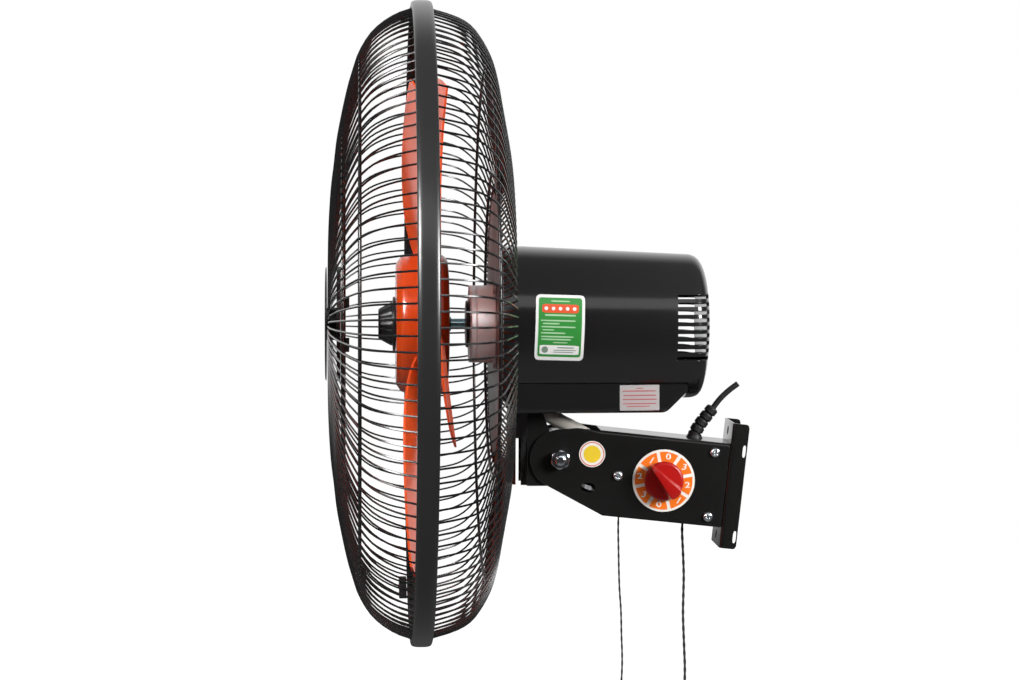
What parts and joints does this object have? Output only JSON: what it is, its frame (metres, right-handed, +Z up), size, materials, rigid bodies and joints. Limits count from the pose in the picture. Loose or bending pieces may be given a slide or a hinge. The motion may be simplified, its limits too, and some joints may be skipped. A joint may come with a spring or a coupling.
{
  "type": "wall fan",
  "caption": "Wall mounted fan: wire guard with edge band, three blades, cylindrical motor, tilting and swinging head, arm with speed dial and pull cords, wall plate.",
  "frame": {"origin": "centre of the wall plane, where the wall plate's flanges meet the wall", "axes": "+Z up, +Y into the wall, the fan blows towards -Y, the speed dial is on the +X side"},
  "size_m": [0.4706, 0.3214, 0.5851],
  "materials": {
    "black_paint": "gloss black enamel on folded sheet steel",
    "black_plastic": "glossy moulded black plastic",
    "ring_black": "glossy dark grey-black plastic edge band",
    "black_wire": "black powder coat on steel wire",
    "brown_plate": "dark brown-black enamel on a pressed plate",
    "orange_plastic": "translucent orange plastic, slightly ribbed",
    "red_plastic": "glossy red plastic",
    "cast_aluminium": "die cast and turned aluminium",
    "zinc_steel": "zinc plated steel",
    "silicon_steel": "stacked silicon steel laminations",
    "copper_wire": "varnished copper winding",
    "white_plastic": "off-white moulded plastic",
    "grey_rubber": "grey cable sleeve",
    "cord_black": "black cord"
  },
  "bodies": {
    "bracket": {"wall_plate": "black_paint", "arm_channel": "black_paint", "arm_bottom_cover": "black_paint", "tilt_bolt": "zinc_steel", "tilt_nut": "zinc_steel", "case_screw_1": "zinc_steel", "case_screw_2": "zinc_steel", "case_screw_3": "zinc_steel", "switch_carrier": "black_plastic", "speed_switch": "white_plastic", "swing_switch": "white_plastic", "speed_cord_bush": "black_plastic", "swing_cord_bush": "black_plastic", "cord_boot": "black_plastic", "mains_cord": "cord_black"},
    "neck": {"neck_yoke": "black_paint", "swing_spindle": "zinc_steel", "motor_lead": "grey_rubber"},
    "head": {"guard_band": "ring_black", "band_clasp": "black_plastic", "front_guard": "black_wire", "front_hoop_outer": "black_wire", "front_hoop_inner": "black_wire", "rear_guard": "black_wire", "rear_hoop_outer": "black_wire", "rear_hoop_inner": "black_wire", "guard_plate": "brown_plate", "guard_screw_1": "zinc_steel", "guard_screw_2": "zinc_steel", "guard_screw_3": "zinc_steel", "guard_screw_4": "zinc_steel", "front_badge": "black_plastic", "badge_back_plate": "black_plastic", "front_bell": "cast_aluminium", "rear_bell": "cast_aluminium", "stator_core": "silicon_steel", "winding_front": "copper_wire", "winding_rear": "copper_wire", "bearing_front": "zinc_steel", "bearing_rear": "zinc_steel", "capacitor": "white_plastic", "motor_cover": "black_plastic", "bottom_pan": "black_plastic", "swing_socket": "zinc_steel", "swing_motor": "zinc_steel", "swing_link": "zinc_steel"},
    "rotor": {"fan_blade": "orange_plastic", "motor_shaft": "zinc_steel", "spinner": "black_plastic", "slinger": "black_plastic", "rotor_core": "silicon_steel"},
    "crank": {"swing_crank": "white_plastic"},
    "knob": {"speed_knob": "red_plastic", "knob_shaft": "zinc_steel"},
    "speed_pull_cord": {"speed_slider": "white_plastic", "speed_cord": "cord_black", "speed_pull_grip": "black_plastic"},
    "swing_pull_cord": {"swing_slider": "white_plastic", "swing_cord": "cord_black", "swing_pull_grip": "black_plastic"}
  },
  "joints": [
    {"name": "tilt", "type": "hinge", "parent": "bracket", "child": "neck", "pos_m": [0, -0.1365, 0.007], "axis": [1, 0, 0], "range_deg": [-3, 24]},
    {"name": "oscillate", "type": "hinge", "parent": "neck", "child": "head", "pos_m": [0, -0.16402, 0.04212], "axis": [0, -0.1045, 0.9945], "range_deg": [-40, 40]},
    {"name": "fan_spin", "type": "hinge", "parent": "head", "child": "rotor", "pos_m": [0, -0.24787, 0.09363], "axis": [0, 0.9945, 0.1045], "continuous": true},
    {"name": "swing_drive", "type": "hinge", "parent": "head", "child": "crank", "pos_m": [0, -0.09325, 0.0576], "axis": [0, -0.1045, 0.9945], "continuous": true},
    {"name": "speed_dial", "type": "hinge", "parent": "bracket", "child": "knob", "pos_m": [0.025, -0.0587, -0.0011], "axis": [1, 0, 0], "continuous": true},
    {"name": "speed_pull", "type": "slide", "parent": "bracket", "child": "speed_pull_cord", "axis": [0, 0, -1], "range_m": [0, 0.015], "stiffness_N_per_m": 300},
    {"name": "swing_pull", "type": "slide", "parent": "bracket", "child": "swing_pull_cord", "axis": [0, 0, -1], "range_m": [0, 0.015], "stiffness_N_per_m": 300}
  ]
}
